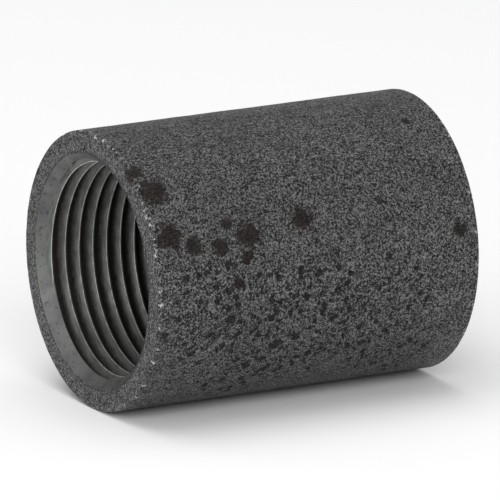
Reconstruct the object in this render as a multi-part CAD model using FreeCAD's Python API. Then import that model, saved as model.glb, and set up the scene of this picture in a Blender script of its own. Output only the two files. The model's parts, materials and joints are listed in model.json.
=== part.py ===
import FreeCAD, Part
import math
import os

# Steel reducing coupling for threaded pipe, in millimetres.
# One piece of round bar or heavy tube, bored from both ends and tapped: a large internal thread opens
# at -X, a smaller one opens at +X, and a plain bored neck with a conical shoulder joins them.
# The coupling lies on its side. X is its axis, +Z is up, and the origin is on the axis at mid-length.

V = FreeCAD.Vector

# ---- the barrel ---------------------------------------------------------------------------------
OUTER_DIAMETER = 40.0
LENGTH = 51.4
EDGE_ROUND = 0.45           # outer rim of each end face, rounded by tumbling and handling

# ---- the two pipes that screw in ----------------------------------------------------------------
INCH = 25.4
LARGE_PIPE_DIAMETER = 33.4  # nominal 1 inch pipe, and so the large thread's root diameter
LARGE_THREADS_PER_INCH = 11.5
LARGE_BORE_DEPTH = 26.0     # end face to where the shoulder begins
SMALL_PIPE_DIAMETER = 26.67 # nominal 3/4 inch pipe, and so the small thread's root diameter
SMALL_THREADS_PER_INCH = 14.0
SMALL_THREAD_LENGTH = 18.0  # end face to the last trace of thread

# ---- the thread form: 60 degree V, in shares of the pitch ---------------------------------------
FLANK_ANGLE = 30.0          # each flank, measured from square to the axis
CREST_FLAT = 0.10
ROOT_FLAT = 0.16
LEAD_TURNS = 2.5            # turns over which the tap's tapered lead lets the thread fade out
CLEAR_TURNS = 1.0           # plain turns left between the large thread's fade and the shoulder
LARGE_THREAD_ANGLE = 0.0    # where a groove stands opposite LARGE_FIRST_GROOVE, from +Y towards +Z
LARGE_FIRST_GROOVE = 3.0    # end face to the middle of the first groove, at that angle
SMALL_THREAD_ANGLE = 0.0
SMALL_FIRST_GROOVE = 2.10

# ---- mouths and shoulder ------------------------------------------------------------------------
MOUTH_OVER_ROOT = 0.05      # how far each countersink's rim stands outside the thread's root
MOUTH_ANGLE = 40.0          # countersink's side, from the axis
SHOULDER_ANGLE = 45.0       # shoulder's side, from the axis

# Clearances that only the cutting tools have, so that no two of their faces coincide.
TOOL_OVERLAP = 0.04         # how far a groove tool reaches inside the bore, in pitches
TOOL_MARGIN = 1.0           # how far a tool stands clear of the metal it doesn't cut

LARGE_PITCH = INCH / LARGE_THREADS_PER_INCH
SMALL_PITCH = INCH / SMALL_THREADS_PER_INCH


def thread_depth(pitch):
    """Height from crest flat to root flat of a V thread with the stated flats."""
    return pitch * (1 - CREST_FLAT - ROOT_FLAT) / (2 * math.tan(math.radians(FLANK_ANGLE)))


LARGE_ROOT = LARGE_PIPE_DIAMETER / 2
LARGE_CREST = LARGE_ROOT - thread_depth(LARGE_PITCH)
SMALL_ROOT = SMALL_PIPE_DIAMETER / 2
SMALL_CREST = SMALL_ROOT - thread_depth(SMALL_PITCH)
LARGE_THREAD_LENGTH = LARGE_BORE_DEPTH - CLEAR_TURNS * LARGE_PITCH


def turned(points):
    """Solid of revolution about X of a closed outline of (x, radius) points."""
    outline = [V(x, 0, radius) for x, radius in points]
    face = Part.Face(Part.makePolygon(outline + outline[:1]))
    return face.revolve(V(0, 0, 0), V(1, 0, 0), 360)


def bar():
    """The solid bar, with its two outer rims rounded."""
    cylinder = Part.makeCylinder(OUTER_DIAMETER / 2, LENGTH, V(-LENGTH / 2, 0, 0), V(1, 0, 0))
    rims = [edge for edge in cylinder.Edges if isinstance(edge.Curve, Part.Circle)]
    return cylinder.makeFillet(EDGE_ROUND, rims)


def bore():
    """The space inside: two threads' core holes, the shoulder between them and both countersinks."""
    left = -LENGTH / 2
    right = LENGTH / 2
    slope = math.tan(math.radians(MOUTH_ANGLE))
    large_mouth = LARGE_ROOT + MOUTH_OVER_ROOT
    small_mouth = SMALL_ROOT + MOUTH_OVER_ROOT
    shoulder = (LARGE_CREST - SMALL_CREST) / math.tan(math.radians(SHOULDER_ANGLE))
    return turned([
        (left - TOOL_MARGIN, 0),
        (left - TOOL_MARGIN, large_mouth + TOOL_MARGIN * slope),
        (left + (large_mouth - LARGE_CREST) / slope, LARGE_CREST),
        (left + LARGE_BORE_DEPTH, LARGE_CREST),
        (left + LARGE_BORE_DEPTH + shoulder, SMALL_CREST),
        (right - (small_mouth - SMALL_CREST) / slope, SMALL_CREST),
        (right + TOOL_MARGIN, small_mouth + TOOL_MARGIN * slope),
        (right + TOOL_MARGIN, 0),
    ])


def groove_ribbon(pitch, crest, root, first_groove, length):
    """Right-hand helical groove along +Z. It crosses +X at z = first_groove and starts outside z = 0."""
    lead_in = math.ceil((first_groove + TOOL_MARGIN) / pitch + 0.5)
    start = first_groove - lead_in * pitch
    turns = math.ceil((length + pitch - start) / pitch)
    reach = TOOL_OVERLAP * pitch
    spread = reach * math.tan(math.radians(FLANK_ANGLE))
    half_mouth = pitch * (1 - CREST_FLAT) / 2 + spread
    half_root = pitch * ROOT_FLAT / 2
    outline = [
        V(crest - reach, 0, start - half_mouth),
        V(root, 0, start - half_root),
        V(root, 0, start + half_root),
        V(crest - reach, 0, start + half_mouth),
    ]
    profile = Part.makePolygon(outline + outline[:1])
    spine = Part.makeHelix(pitch, turns * pitch, crest)
    spine.translate(V(0, 0, start))
    return Part.Wire(spine).makePipeShell([profile], True, True)


def tap_envelope(pitch, crest, root, length):
    """What the tap's teeth sweep along +Z: full size, then a tapered lead down to the bore."""
    lead = LEAD_TURNS * pitch
    inside = crest - 2 * TOOL_OVERLAP * pitch
    slope = (root - crest) / lead
    outline = [
        V(0, 0, -TOOL_MARGIN - pitch * 2),
        V(root + TOOL_MARGIN, 0, -TOOL_MARGIN - pitch * 2),
        V(root + TOOL_MARGIN, 0, length - lead - TOOL_MARGIN / slope),
        V(inside, 0, length + (crest - inside) / slope),
        V(0, 0, length + (crest - inside) / slope),
    ]
    face = Part.Face(Part.makePolygon(outline + outline[:1]))
    return face.revolve(V(0, 0, 0), V(0, 0, 1), 360)


def thread_tool(pitch, crest, root, first_groove, length):
    ribbon = groove_ribbon(pitch, crest, root, first_groove, length)
    return ribbon.common(tap_envelope(pitch, crest, root, length))


def from_large_end(tool, angle):
    """Turn a tool made along +Z to run along +X from the large end face, its +X side at the angle."""
    tool.rotate(V(0, 0, 0), V(0, 0, 1), 90)
    tool.rotate(V(0, 0, 0), V(0, 1, 0), 90)
    tool.rotate(V(0, 0, 0), V(1, 0, 0), angle)
    tool.translate(V(-LENGTH / 2, 0, 0))
    return tool


def from_small_end(tool, angle):
    """Turn a tool made along +Z to run along -X from the small end face, its +X side at the angle."""
    tool.rotate(V(0, 0, 0), V(0, 0, 1), 90)
    tool.rotate(V(0, 0, 0), V(0, 1, 0), -90)
    tool.rotate(V(0, 0, 0), V(1, 0, 0), angle)
    tool.translate(V(LENGTH / 2, 0, 0))
    return tool


def coupling_body():
    """Bar less both grooves less the bore. The grooves go first, while no inner wall lies along them."""
    large = thread_tool(LARGE_PITCH, LARGE_CREST, LARGE_ROOT, LARGE_FIRST_GROOVE, LARGE_THREAD_LENGTH)
    small = thread_tool(SMALL_PITCH, SMALL_CREST, SMALL_ROOT, SMALL_FIRST_GROOVE, SMALL_THREAD_LENGTH)
    body = bar()
    body = body.cut(from_large_end(large, LARGE_THREAD_ANGLE))
    body = body.cut(from_small_end(small, SMALL_THREAD_ANGLE))
    return body.cut(bore())


NODES = {"coupling_body": coupling_body}

os.makedirs("parts", exist_ok=True)
for name, make in NODES.items():
    shape = make()
    solids = shape.Solids
    print(f"{name}: {len(solids)} solid, valid {shape.isValid()}, volume {shape.Volume:.1f} mm3")
    solids[0].exportStep(f"parts/{name}.step")
print(f"large thread: crest radius {LARGE_CREST:.3f}, root radius {LARGE_ROOT:.3f}, pitch {LARGE_PITCH:.4f}")
print(f"small thread: crest radius {SMALL_CREST:.3f}, root radius {SMALL_ROOT:.3f}, pitch {SMALL_PITCH:.4f}")
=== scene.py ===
# %% [markdown]
# # A black steel reducing coupling
# A coupling joins two threaded pipes. This one is a single piece of steel: a rough, black, rolled barrel,
# bored and tapped from both ends. The large thread opens at -X, and the smaller one at +X.
# The design is fixed already, so this script only has to make the steel look like steel. Everything is in
# metres, in the design's own frame, and every place is worked out from the frame.

# %% Load the frame
import json
import math

import bmesh
import bpy
from mathutils import Matrix, Vector, noise


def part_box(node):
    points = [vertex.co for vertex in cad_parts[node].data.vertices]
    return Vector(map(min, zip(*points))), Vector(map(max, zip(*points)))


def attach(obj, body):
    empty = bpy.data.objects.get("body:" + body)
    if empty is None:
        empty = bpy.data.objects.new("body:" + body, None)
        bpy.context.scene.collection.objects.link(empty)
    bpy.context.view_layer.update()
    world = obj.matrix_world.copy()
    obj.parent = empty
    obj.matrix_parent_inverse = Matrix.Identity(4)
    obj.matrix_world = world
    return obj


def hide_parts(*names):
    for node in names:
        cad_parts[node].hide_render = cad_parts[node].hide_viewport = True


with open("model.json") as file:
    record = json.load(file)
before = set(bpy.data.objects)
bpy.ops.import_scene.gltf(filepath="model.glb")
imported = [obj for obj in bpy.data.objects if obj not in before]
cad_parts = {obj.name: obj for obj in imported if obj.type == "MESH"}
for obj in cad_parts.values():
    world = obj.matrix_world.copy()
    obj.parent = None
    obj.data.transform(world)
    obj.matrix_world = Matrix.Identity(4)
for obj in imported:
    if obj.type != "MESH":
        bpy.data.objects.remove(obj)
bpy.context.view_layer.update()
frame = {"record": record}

# %% [markdown]
# ## Sizes
# The barrel's size is read from its node, and the two bores' crest radii from the record's mounts. Pipe
# threads are known by the pipe they fit, so their pitch and root radius come from the pipe's own numbers.

# %% Sizes of the barrel and the threads
MM = 0.001
INCH = 25.4 * MM
LARGE_PIPE, LARGE_THREADS_PER_INCH, LARGE_BORE_DEPTH = 33.4 * MM, 11.5, 26.0 * MM
SMALL_PIPE, SMALL_THREADS_PER_INCH, SMALL_THREAD_LENGTH = 26.67 * MM, 14, 18.0 * MM
low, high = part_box("coupling_body")
END = high.x
OUTER = high.z
FLOOR = low.z
MOUNTS = {mount["name"]: mount for mount in frame["record"]["mounts"]}


def crest_radius(mount):
    return MOUNTS[mount]["dims"]["r_mm"] * MM


LARGE = {
    "crest": crest_radius("large_end_thread"),
    "root": LARGE_PIPE / 2,
    "pitch": INCH / LARGE_THREADS_PER_INCH,
    "first_groove": 3.0 * MM,
    "inward": 1,
}
LARGE["length"] = LARGE_BORE_DEPTH - LARGE["pitch"]
SMALL = {
    "crest": crest_radius("small_end_thread"),
    "root": SMALL_PIPE / 2,
    "pitch": INCH / SMALL_THREADS_PER_INCH,
    "first_groove": 2.10 * MM,
    "inward": -1,
    "length": SMALL_THREAD_LENGTH,
}
SHOULDER = -END + LARGE_BORE_DEPTH
MOUTH_OVER_ROOT = 0.05 * MM
MOUTH_SLOPE = math.tan(math.radians(40))
COLLAR_GAP = 0.12 * MM
print(f"barrel {2 * END / MM:.1f} mm long, {2 * OUTER / MM:.1f} mm across")

# %% [markdown]
# ## Turning on a lathe
# A round part is an outline turned about its axis. `bmesh.ops.spin` does what the lathe does: it takes a
# chain of edges and sweeps it round in steps. A full spin merges its last column into its first.
# The skin and the machined inside are turned apart, because the skin needs a fine, even grid for its
# rough surface, and the inside needs clean, long faces for the thread cutter.

# %% Lathe helpers
COLUMNS = 320
SKIN, MACHINED, TAPPED, HIDDEN = range(4)


def steps(start, stop, count):
    """Evenly spaced points from start up to, but not including, stop."""
    return [tuple(a + (b - a) * i / count for a, b in zip(start, stop)) for i in range(count)]


def turn(bm, outline, closed):
    """Spin an outline of (x, radius) points about the X axis into a surface."""
    points = [bm.verts.new((x, radius, 0)) for x, radius in outline]
    followers = points[1:] + points[:1] if closed else points[1:]
    edges = [bm.edges.new(pair) for pair in zip(points, followers)]
    bmesh.ops.spin(
        bm, geom=points + edges, cent=(0, 0, 0), axis=(1, 0, 0), dvec=(0, 0, 0),
        angle=2 * math.pi, steps=COLUMNS, use_merge=True, use_duplicate=False,
    )


def piece(bm, name):
    """Give a bmesh to a new object in the scene."""
    mesh = bpy.data.meshes.new(name)
    bm.to_mesh(mesh)
    bm.free()
    made = bpy.data.objects.new(name, mesh)
    bpy.context.scene.collection.objects.link(made)
    print(f"{name}: {len(mesh.vertices)} points, {len(mesh.polygons)} faces")
    return made


# %% [markdown]
# ## The machined inside
# Both ends are countersunk, so that a pipe starts easily, and a shoulder joins the large bore to the small
# one. The outline is closed by a wall hidden inside the metal, because the thread cutter below is a
# Boolean, and a Boolean needs a closed solid. The hidden wall is thrown away afterwards.

# %% Turn the machined core
def mouth(thread):
    """The countersink's rim radius and its depth."""
    rim = thread["root"] + MOUTH_OVER_ROOT
    return rim, (rim - thread["crest"]) / MOUTH_SLOPE


def collar(thread):
    """The radius on the end face where the machined core meets the skin."""
    return mouth(thread)[0] + COLLAR_GAP


def core_outline():
    large_rim, large_depth = mouth(LARGE)
    small_rim, small_depth = mouth(SMALL)
    large, small = LARGE["crest"], SMALL["crest"]
    neck = SHOULDER + large - small
    step = (SHOULDER + neck) / 2
    return (
        [(-END, collar(LARGE))]
        + steps((-END, large_rim), (-END + large_depth, large), 3)
        + steps((-END + large_depth, large), (SHOULDER, large), 10)
        + steps((SHOULDER, large), (neck, small), 4)
        + steps((neck, small), (END - small_depth, small), 9)
        + steps((END - small_depth, small), (END, small_rim), 3)
        + [(END, small_rim), (END, collar(SMALL)), (step, collar(SMALL)), (step, collar(LARGE))]
    )


def core_surface(face):
    """The end faces carry skin; what looks away from the axis is the hidden wall."""
    middle = face.calc_center_median()
    if abs(abs(middle.x) - END) < 0.01 * MM:
        return SKIN
    outwards = face.normal.dot(Vector((0, middle.y, middle.z)).normalized())
    return HIDDEN if outwards > -0.1 else MACHINED


bm = bmesh.new()
turn(bm, core_outline(), closed=True)
bmesh.ops.recalc_face_normals(bm, faces=bm.faces)
for face in bm.faces:
    face.material_index = core_surface(face)
core = piece(bm, "machined_core")

# %% [markdown]
# ## Cutting the threads
# A tap cuts one long groove along a helix. The same spin makes it: with a step along the axis (`dvec`) at
# each turn of the wheel, a spin becomes a screw. One turn is spun, then copied along the axis and merged.
# The groove's section is a 60 degree V with a flat at its root, and its lips are flared, so the crests
# left between two turns come out rounded. The tap's tapered lead makes the last turns fade, and the
# countersink, which was cut last, wiped the first part turn away. Real crests are a little torn, so each
# lip wanders by a few hundredths of a millimetre, but never far enough to touch the next turn's: a
# cutter that runs through itself isn't a solid, and the Boolean would fail.

# %% Screw the groove cutters
FLANK = math.tan(math.radians(30))
CREST_FLAT, ROOT_FLAT = 0.10, 0.16
LEAD_TURNS = 2.5
WIPED_TURNS = 0.6
LARGEST_WANDER = 0.015
GROOVE_STEPS = 128


def groove_section(thread):
    """The groove's section as (offset along the axis, radius), from lip to lip."""
    pitch, crest, root = thread["pitch"], thread["crest"], thread["root"]
    depth = root - crest
    lip = pitch * (1 - CREST_FLAT) / 2
    half = [
        (0.45 * ROOT_FLAT * pitch, root),
        (0.62 * ROOT_FLAT * pitch, root - 0.05 * depth),
        (lip - 0.12 * depth * FLANK, crest + 0.12 * depth),
        (lip + 0.012 * pitch, crest + 0.02 * depth),
        (lip + 0.030 * pitch, crest - 0.06 * depth),
    ]
    return [(-along, radius) for along, radius in reversed(half)] + half


def lip_wander(thread, turns, side):
    """How far a crest's edge strays at a place along the groove, in metres."""
    ripple = noise.noise(Vector((turns * 14, 7 * side, thread["root"] * 900)))
    chatter = noise.noise(Vector((turns * 61, 5 * side, 4.1)))
    tear = max(0, noise.noise(Vector((turns * 33, 3 * side, 1.7))) - 0.2) * max(0, 3.4 - turns)
    stray = (0.018 * ripple + 0.012 * chatter + 0.10 * tear) * MM
    return min(stray, LARGEST_WANDER * thread["pitch"])


def groove_cutter(thread, name):
    """The closed solid that a tap's teeth sweep, screwed in from the thread's own end face."""
    pitch, crest, root, inward = (thread[key] for key in ("pitch", "crest", "root", "inward"))
    section = groove_section(thread)
    before = math.ceil(thread["first_groove"] / pitch) + 1
    start = thread["first_groove"] - before * pitch
    turns = math.ceil((thread["length"] - start) / pitch)

    bm = bmesh.new()
    points = [bm.verts.new((start + along, radius, 0)) for along, radius in section]
    edges = [bm.edges.new(pair) for pair in zip(points, points[1:] + points[:1])]
    bmesh.ops.spin(
        bm, geom=points + edges, cent=(0, 0, 0), axis=(1, 0, 0), dvec=(pitch / GROOVE_STEPS, 0, 0),
        angle=2 * math.pi, steps=GROOVE_STEPS, use_merge=False, use_duplicate=False,
    )
    one_turn = bm.verts[:] + bm.edges[:] + bm.faces[:]
    for number in range(1, turns):
        copy = bmesh.ops.duplicate(bm, geom=one_turn)["geom"]
        moved = [part for part in copy if isinstance(part, bmesh.types.BMVert)]
        bmesh.ops.translate(bm, verts=moved, vec=(pitch * number, 0, 0))
    bmesh.ops.remove_doubles(bm, verts=bm.verts, dist=0.001 * MM)
    bmesh.ops.holes_fill(bm, edges=[edge for edge in bm.edges if edge.is_boundary], sides=0)

    fade_start = thread["length"] - LEAD_TURNS * pitch
    for vert in bm.verts:
        along, radius = vert.co.x, math.hypot(vert.co.y, vert.co.z)
        angle = math.atan2(vert.co.z, vert.co.y) / (2 * math.pi)
        turn_number = round((along - start) / pitch - angle)
        centre = start + pitch * (turn_number + angle)
        side = 1 if along > centre else -1
        near_lip = max(0, 1 - (radius - crest) / (0.5 * (root - crest)))
        vert.co.x += side * min(1, near_lip) * lip_wander(thread, turn_number + angle - before + 1, side)
        reach = root - (root - crest) * max(0, along - fade_start) / (LEAD_TURNS * pitch)
        wiped = root
        if along < WIPED_TURNS * pitch:
            wiped = mouth(thread)[0] - along * MOUTH_SLOPE - 0.02 * MM
        fade = min(1, reach / radius, wiped / radius)
        vert.co.y *= fade
        vert.co.z *= fade
    if inward < 0:
        bmesh.ops.rotate(bm, verts=bm.verts, cent=(0, 0, 0), matrix=Matrix.Rotation(math.pi, 3, "Z"))
    bmesh.ops.translate(bm, verts=bm.verts, vec=(-END * inward, 0, 0))
    bmesh.ops.recalc_face_normals(bm, faces=bm.faces)
    for face in bm.faces:
        face.material_index = TAPPED
    return piece(bm, name)


large_cutter = groove_cutter(LARGE, "large_groove_cutter")
small_cutter = groove_cutter(SMALL, "small_groove_cutter")

# %% [markdown]
# The cutters are taken away from the core with two Boolean modifiers. Their result is read from the
# dependency graph as a plain mesh, so nothing live is left on the finished piece.

# %% Cut both threads
for name in ("rolled_skin", "machined_steel", "tapped_thread", "hidden_wall"):
    material = bpy.data.materials.new(name)
    for made in (core, large_cutter, small_cutter):
        made.data.materials.append(material)
for cutter in (large_cutter, small_cutter):
    cut = core.modifiers.new("cut_" + cutter.name, "BOOLEAN")
    cut.operation = "DIFFERENCE"
    cut.solver = "EXACT"
    cut.object = cutter
graph = bpy.context.evaluated_depsgraph_get()
threaded = bpy.data.meshes.new_from_object(core.evaluated_get(graph))
print(f"threaded core: {len(threaded.vertices)} points, {len(threaded.polygons)} faces")
for spent in (core, large_cutter, small_cutter):
    bpy.data.objects.remove(spent)

# %% [markdown]
# ## The rough skin
# The outside was never machined. It is hot-rolled steel: a little wavy, grainy, pitted where the scale
# has flaked, and worn soft at both rims. The grid is turned evenly, then each point is sunk by small
# amounts of noise. Everything bigger than half a millimetre is real shape here, and what is finer is
# left to the material's bump.

# %% Turn the skin
SKIN_ROWS = 118
RIM_ROUND = 0.45 * MM


def rim_bend(side):
    """The rounded rim as (x, radius) points, from the barrel to the end face."""
    bend = [math.pi / 2 * i / 5 for i in range(6)]
    return [
        (side * (END - RIM_ROUND * (1 - math.sin(a))), OUTER - RIM_ROUND * (1 - math.cos(a)))
        for a in bend
    ]


def skin_outline():
    face_edge = OUTER - RIM_ROUND
    return (
        steps((-END, collar(LARGE)), (-END, face_edge), 6)
        + list(reversed(rim_bend(-1)))
        + steps((-END + RIM_ROUND, OUTER), (END - RIM_ROUND, OUTER), SKIN_ROWS)[1:]
        + rim_bend(1)
        + steps((END, face_edge), (END, collar(SMALL)), 12)[1:]
        + [(END, collar(SMALL))]
    )


def relief(place):
    """How deep the skin is sunk at a place, in metres."""
    spot = place / MM
    wave = noise.noise(spot * 0.19)
    lumps = noise.noise(spot * 0.55 + Vector((3, 8, 1)))
    grain = noise.noise(spot * 1.15 + Vector((5, 2, 9)))
    pits = max(0, noise.noise(spot * 0.95 + Vector((9, 4, 2))) - 0.36)
    return (0.045 + 0.020 * wave + 0.014 * lumps + 0.016 * grain + 0.22 * pits) * MM


bm = bmesh.new()
turn(bm, skin_outline(), closed=False)
bmesh.ops.recalc_face_normals(bm, faces=bm.faces)
bm.normal_update()
sunk = []
for vert in bm.verts:
    radius = math.hypot(vert.co.y, vert.co.z)
    own_collar = collar(LARGE) if vert.co.x < 0 else collar(SMALL)
    on_face = abs(vert.co.x) > END - 0.01 * MM
    from_collar = (radius - own_collar) / (0.5 * MM) if on_face else 1
    sunk.append((vert, vert.normal * relief(vert.co) * min(1, max(0, from_collar))))
for vert, shift in sunk:
    vert.co -= shift
print(f"skin: {len(bm.verts)} points")

# %% [markdown]
# The threaded core is added to the same mesh, without its hidden wall. Both were turned in the same
# columns, so their shared rings fall together and merge into one closed body.

# %% Join skin and core into one body
bm.from_mesh(threaded)
bmesh.ops.delete(bm, geom=[face for face in bm.faces if face.material_index == HIDDEN], context="FACES")
bmesh.ops.remove_doubles(bm, verts=bm.verts, dist=0.002 * MM)
bmesh.ops.dissolve_degenerate(bm, edges=bm.edges, dist=0.001 * MM)
bmesh.ops.recalc_face_normals(bm, faces=bm.faces)
open_edges = sum(len(edge.link_faces) != 2 for edge in bm.edges)
triangles = sum(len(face.verts) - 2 for face in bm.faces)
print(f"open edges: {open_edges}, triangles: {triangles}, volume: {bm.calc_volume() / MM ** 3:.0f} mm3")
barrel = piece(bm, "threaded_barrel")
for name in ("rolled_skin", "machined_steel", "tapped_thread"):
    barrel.data.materials.append(bpy.data.materials[name])
barrel.data.shade_smooth()
barrel.data.set_sharp_from_angle(angle=math.radians(38))
bpy.data.materials.remove(bpy.data.materials["hidden_wall"])
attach(barrel, "root")
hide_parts("coupling_body")

# %% [markdown]
# ## Shader arithmetic
# A material is a small program. `Signal` wraps a socket, so that plain `+`, `-` and `*` add Math nodes,
# and `Shader.node` makes every other node: its kind, its settings, then its values and links.

# %% A small shader language
class Signal:
    def __init__(self, shader, socket):
        self.shader, self.socket = shader, socket

    def math(self, operation, *others):
        values = dict(enumerate((self,) + others))
        return self.shader.node("Math", {"operation": operation}, values)

    def __add__(self, other):
        return self.math("ADD", other)

    def __sub__(self, other):
        return self.math("SUBTRACT", other)

    def __mul__(self, other):
        return self.math("MULTIPLY", other)

    def __truediv__(self, other):
        return self.math("DIVIDE", other)

    def __rsub__(self, other):
        return self.shader.node("Math", {"operation": "SUBTRACT"}, {0: other, 1: self})

    __radd__ = __add__
    __rmul__ = __mul__

    def max(self, other):
        return self.math("MAXIMUM", other)

    def ramp(self, low, high):
        """0 below low, 1 above high, and a smooth rise between them."""
        settings = {"interpolation_type": "SMOOTHSTEP"}
        return self.shader.node("MapRange", settings, {"Value": self, "From Min": low, "From Max": high})


class Shader:
    def __init__(self, name):
        self.material = bpy.data.materials.get(name) or bpy.data.materials.new(name)
        self.material.use_nodes = True
        self.tree = self.material.node_tree
        self.tree.nodes.clear()
        coordinates = self.node("TexCoord", {}, {}, "Object")
        self.place = self.vector("SCALE", coordinates, {"Scale": 1 / MM})
        flat = self.vector("MULTIPLY", self.place, {1: (0, 1, 1)})
        self.radius = self.vector("LENGTH", flat, {}, "Value")
        self.x = self.node("SeparateXYZ", {}, {0: self.place}, "X")

    def node(self, kind, settings, values, output=0):
        made = self.tree.nodes.new("ShaderNode" + kind)
        for name, setting in settings.items():
            setattr(made, name, setting)
        for name, value in values.items():
            if isinstance(value, Signal):
                self.tree.links.new(value.socket, made.inputs[name])
            else:
                made.inputs[name].default_value = value
        return Signal(self, made.outputs[output])

    def vector(self, operation, first, values, output=0):
        return self.node("VectorMath", {"operation": operation}, {0: first, **values}, output)

    def noise(self, scale, detail=2.0, vector=None, roughness=0.5):
        """Grey noise with about this many blobs to the millimetre."""
        values = {"Vector": vector or self.place, "Scale": scale, "Detail": detail, "Roughness": roughness}
        return self.node("TexNoise", {}, values)

    def blend(self, factor, first, second):
        """Mix two colours."""
        values = {0: factor}
        for socket, colour in ((6, first), (7, second)):
            values[socket] = colour if isinstance(colour, Signal) else (*colour, 1)
        return self.node("Mix", {"data_type": "RGBA"}, values, 2)

    def bump(self, height, distance, strength=1.0):
        values = {"Height": height, "Distance": distance, "Strength": strength}
        return self.node("Bump", {}, values)

    def finish(self, values):
        surface = self.node("BsdfPrincipled", {}, values)
        output = self.tree.nodes.new("ShaderNodeOutputMaterial")
        self.tree.links.new(surface.socket, output.inputs["Surface"])
        print(f"{self.material.name}: {len(self.tree.nodes)} nodes")


def grey(value):
    return (value, value, value)


# %% [markdown]
# ## Black rolled skin
# Mill scale is a hard black oxide. It is never one black: the grain catches the light, flakes leave
# lighter specks, pits hold dirt, and a few damp spots are stained brown. The stains are given by their
# place along the barrel and their angle round it, measured from the front (-Y) upwards, with a size.

# %% Skin material
def round_barrel(x, angle, radius=OUTER / MM):
    """A place in millimetres, from x and the angle round the barrel."""
    turned = math.radians(angle)
    return Vector((x, -radius * math.cos(turned), radius * math.sin(turned)))


STAINS = [
    (-23.4, 46, 2.1), (-23.0, 26, 1.9), (-19.6, 21, 1.3), (-15.3, 19, 1.3), (-13.8, 28, 0.8),
    (-10.8, 22, 1.8), (-11.3, 14, 0.9), (-1.9, 26, 1.6), (-13, 3, 0.8), (-6.4, -27, 0.9), (22.6, 13, 0.9),
    (20.2, 65, 0.6), (-25.2, 57, 1.3), (-25.6, 146, 1.0), (8, 120, 1.8), (-12, 200, 1.6), (15, 235, 1.3),
]
PIT_FIELDS = [(-14, -8, 8.0), (-2, -14, 8.0), (-8, -32, 8.0), (10, -20, 7.0), (14, -42, 6.0), (4, 205, 9.0)]


def spots(shader, places, softness, raggedness):
    """A mask round several places, with edges broken up by noise."""
    ragged = shader.noise(1.1, 4.0, roughness=0.75)
    mask = None
    for x, angle, size in places:
        away = shader.vector("DISTANCE", shader.place, {1: round_barrel(x, angle)}, "Value")
        strayed = away + (ragged - 0.5) * (raggedness * size)
        near = 1 - strayed.ramp(size * (1 - softness), size * (1 + softness))
        mask = near if mask is None else mask.max(near)
    return mask


def round_pits(shader, scale, size, share):
    """Small round pits, one to a cell of this scale, kept in only a share of the cells."""
    values = {"Vector": shader.place, "Scale": 2.2 * scale, "Detail": 1.0}
    wobble = shader.node("TexNoise", {}, values, "Color")
    bent = shader.vector("MULTIPLY_ADD", wobble, {1: (0.7 / scale,) * 3, 2: shader.place})
    away = shader.node("TexVoronoi", {}, {"Vector": bent, "Scale": scale})
    colour = shader.node("TexVoronoi", {}, {"Vector": bent, "Scale": scale}, "Color")
    chance = shader.node("SeparateColor", {}, {0: colour})
    return (1 - away.ramp(size * 0.8, size * 1.2)) * (share - chance).ramp(0.0, 0.05)


skin = Shader("rolled_skin")
broad = skin.noise(0.10, 2.0)
mottle = skin.noise(0.75, 3.0)
grain = skin.noise(3.5, 2.0, roughness=0.6)
fine = skin.noise(7.5, 1.0)
flakes = skin.noise(2.2, 1.0, vector=skin.vector("ADD", skin.place, {1: (31, 7, 12)}))
pit_field = spots(skin, PIT_FIELDS, 0.6, 1.0)
pitted = round_pits(skin, 0.62, 0.32, pit_field * 0.85 + 0.04)
pitted = pitted.max(round_pits(skin, 1.15, 0.34, pit_field * 0.70 + 0.06))
stained = spots(skin, STAINS, 0.30, 3.2)
dull = pitted.max(stained)
sparkle = (grain + (fine - 0.5) * 0.9 + (mottle - 0.5) * 0.20).ramp(0.43, 0.68)
flake = flakes.ramp(0.62, 0.72) * (1 - dull)
rim_wear = skin.radius.ramp(19.2, 19.75) * skin.x.math("ABSOLUTE").ramp(24.8, 25.5)
mouth_edge = LARGE["root"] / MM
# Painted shadow: the skin inside a radius just past the large mouth's rim is darkened in mottled patches,
# standing in for the shadow of a lip at the countersink's edge. The small end face lies inside that radius
# and is darkened too.
painted_rim_shadow = (1 - skin.radius.ramp(mouth_edge + 0.28, mouth_edge + 0.42)) * mottle.ramp(0.40, 0.55)

colour = skin.blend(sparkle, grey(0.004), grey(0.19))
colour = skin.blend(broad.ramp(0.45, 0.65) * 0.15, colour, (0.024, 0.022, 0.020))
colour = skin.blend(flake * 0.5, colour, grey(0.26))
colour = skin.blend(rim_wear * flakes.ramp(0.54, 0.62) * mottle.ramp(0.48, 0.60), colour, grey(0.50))
colour = skin.blend(dull * 0.88, colour, grey(0.003))
colour = skin.blend(stained * grain.ramp(0.45, 0.62) * 0.60, colour, (0.030, 0.014, 0.009))
# Painted shadow darkens the countersink's rim.
colour = skin.blend(painted_rim_shadow * 0.8, colour, grey(0.004))
skin.finish({
    "Base Color": colour,
    "Roughness": 0.50 - sparkle * 0.12 + dull * 0.22,
    "Metallic": sparkle * 0.45 * (1 - dull),
    "Specular IOR Level": 0.18,
    "Normal": skin.bump(sparkle * 0.6 + fine * 0.15 - pitted * 0.6, 0.05 * MM),
})

# %% [markdown]
# ## Machined steel
# The countersinks and the shoulder were cut with a single point, which leaves fine rings. The rings are
# noise that only changes along the axis and along the radius, so they run right round the part.

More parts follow.
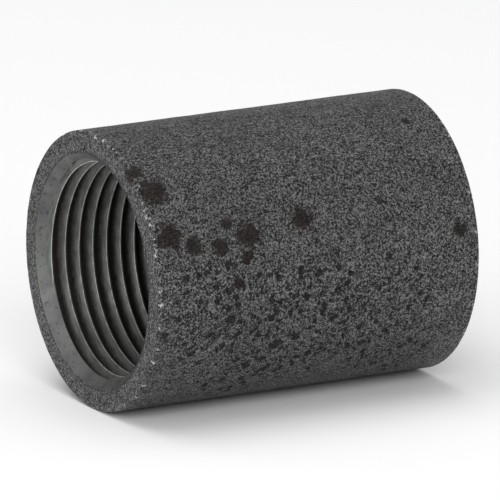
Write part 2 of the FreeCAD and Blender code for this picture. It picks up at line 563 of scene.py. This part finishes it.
# %% Machined material
machined = Shader("machined_steel")
along = machined.x + machined.radius * 0.7
ring_place = machined.node("CombineXYZ", {}, {"X": along * 3.0, "Y": machined.radius * 0.02})
rings = machined.noise(3.0, 3.0, vector=ring_place)
patina = machined.noise(0.28, 3.0)
smut = machined.noise(1.7, 3.0)
colour = machined.blend(patina.ramp(0.35, 0.70), (0.150, 0.155, 0.147), (0.100, 0.096, 0.104))
colour = machined.blend(smut.ramp(0.58, 0.72) * 0.6, colour, (0.030, 0.028, 0.026))
machined.finish({
    "Base Color": colour,
    "Roughness": 0.34 + rings * 0.14 + smut * 0.10,
    "Metallic": 0.85,
    "Normal": machined.bump(rings, 0.02 * MM),
})

# %% [markdown]
# ## Tapped threads
# A painted highlight makes a thin bright band along each crest. The roots are painted dark, partly cutting
# oil and dust that collect there and partly painted shade deep in the roots. The depth below the crest
# decides the colour; it is worked out from the radius, and the crest's radius itself depends on which of
# the two threads the point lies in.

# %% Thread material
thread = Shader("tapped_thread")
in_small = thread.x.math("GREATER_THAN", SHOULDER / MM)


def by_thread(key):
    large, small = LARGE[key] / MM, SMALL[key] / MM
    return in_small * (small - large) + large


depth = (thread.radius - by_thread("crest")) / (by_thread("root") - by_thread("crest"))
dirt = thread.noise(1.2, 4.0, roughness=0.6)
drawn_out = thread.vector("MULTIPLY", thread.place, {1: (3, 0.5, 0.5)})
streaks = thread.noise(1.0, 3.0, vector=drawn_out)
# Darker with depth towards the root: partly cutting oil, partly painted shade deep in the roots.
oil_and_root_shade = (depth + (dirt - 0.5) * 0.5).ramp(0.45, 0.95)
# Painted highlight: a thin bright band along each crest.
crest_painted_highlight = 1 - (depth + (dirt - 0.5) * 0.10).ramp(0.01, 0.08)
colour = thread.blend(streaks.ramp(0.3, 0.7), (0.100, 0.103, 0.096), (0.165, 0.170, 0.160))
colour = thread.blend(oil_and_root_shade, colour, (0.010, 0.008, 0.006))
colour = thread.blend(crest_painted_highlight * 0.85, colour, grey(0.60))
thread.finish({
    "Base Color": colour,
    "Roughness": 0.38 + dirt * 0.15 + oil_and_root_shade * 0.15,
    "Metallic": 0.8 - oil_and_root_shade * 0.5,
    "Normal": thread.bump(streaks + dirt * 0.5, 0.03 * MM),
})

# %% [markdown]
# ## Studio
# The part lies on a plain white floor in a white room. One large soft lamp hangs overhead, one stands in
# front and lights the floor that the underside mirrors, and a weak one brightens the open end. The camera
# is far away with a long lens, so the barrel's edges stay almost parallel. Rays that come straight from
# the camera see the room brighter than the part does, which keeps the background white and the steel dark.

# %% Floor and light
bm = bmesh.new()
bmesh.ops.create_grid(bm, x_segments=1, y_segments=1, size=4.0)
bmesh.ops.translate(bm, verts=bm.verts, vec=(0, 0, FLOOR))
floor = piece(bm, "studio_floor")
paper = bpy.data.materials.new("white_paper")
paper.use_nodes = True
sheet = paper.node_tree.nodes["Principled BSDF"].inputs
sheet["Base Color"].default_value = (*grey(0.92), 1)
sheet["Roughness"].default_value = 0.9
floor.data.materials.append(paper)

world = bpy.data.worlds.new("white_room")
world.use_nodes = True
nodes, links = world.node_tree.nodes, world.node_tree.links
rays = nodes.new("ShaderNodeLightPath")
strength = nodes.new("ShaderNodeMapRange")
strength.inputs["To Min"].default_value = 0.45
strength.inputs["To Max"].default_value = 1.0
links.new(rays.outputs["Is Camera Ray"], strength.inputs["Value"])
nodes["Background"].inputs["Color"].default_value = (1, 1, 1, 1)
links.new(strength.outputs["Result"], nodes["Background"].inputs["Strength"])
bpy.context.scene.world = world


def softbox(name, place, size, watts):
    light = bpy.data.lights.new(name, "AREA")
    light.size = size
    light.energy = watts
    lamp = bpy.data.objects.new(name, light)
    lamp.location = place
    lamp.rotation_euler = (-Vector(place)).to_track_quat("-Z", "Y").to_euler()
    bpy.context.scene.collection.objects.link(lamp)
    print(f"{name}: {watts} W")


softbox("overhead", (-0.2, 0.1, 1.5), 1.4, 12)
softbox("front", (-0.6, -1.5, 0.9), 0.9, 15)
softbox("left", (-1.2, -0.3, 0.4), 0.6, 4)

# %% [markdown]
# The camera's own axes are worked out from the two angles it looks along: the azimuth round the part and
# the elevation above the floor. It stands two metres away and a fraction of a millimetre off centre.

# %% Camera
camera = bpy.data.objects.new("camera", bpy.data.cameras.new("camera"))
camera.data.lens = 1020
camera.data.sensor_width = 36
camera.data.clip_end = 20
azimuth, elevation = math.radians(331.1), math.radians(14.36)
right = Vector((math.cos(azimuth), math.sin(azimuth), 0))
front = Vector((math.sin(azimuth), -math.cos(azimuth), 0))
back = front * math.cos(elevation) + Vector((0, 0, math.sin(elevation)))
up = back.cross(right)
eye = back * 2.0 - right * 0.27 * MM - up * 0.05 * MM
camera.matrix_world = Matrix.Translation(eye) @ Matrix((right, up, back)).transposed().to_4x4()
bpy.context.scene.collection.objects.link(camera)
bpy.context.scene.camera = camera
bpy.context.scene.view_settings.view_transform = "Standard"
print("camera at", [round(value, 3) for value in eye])
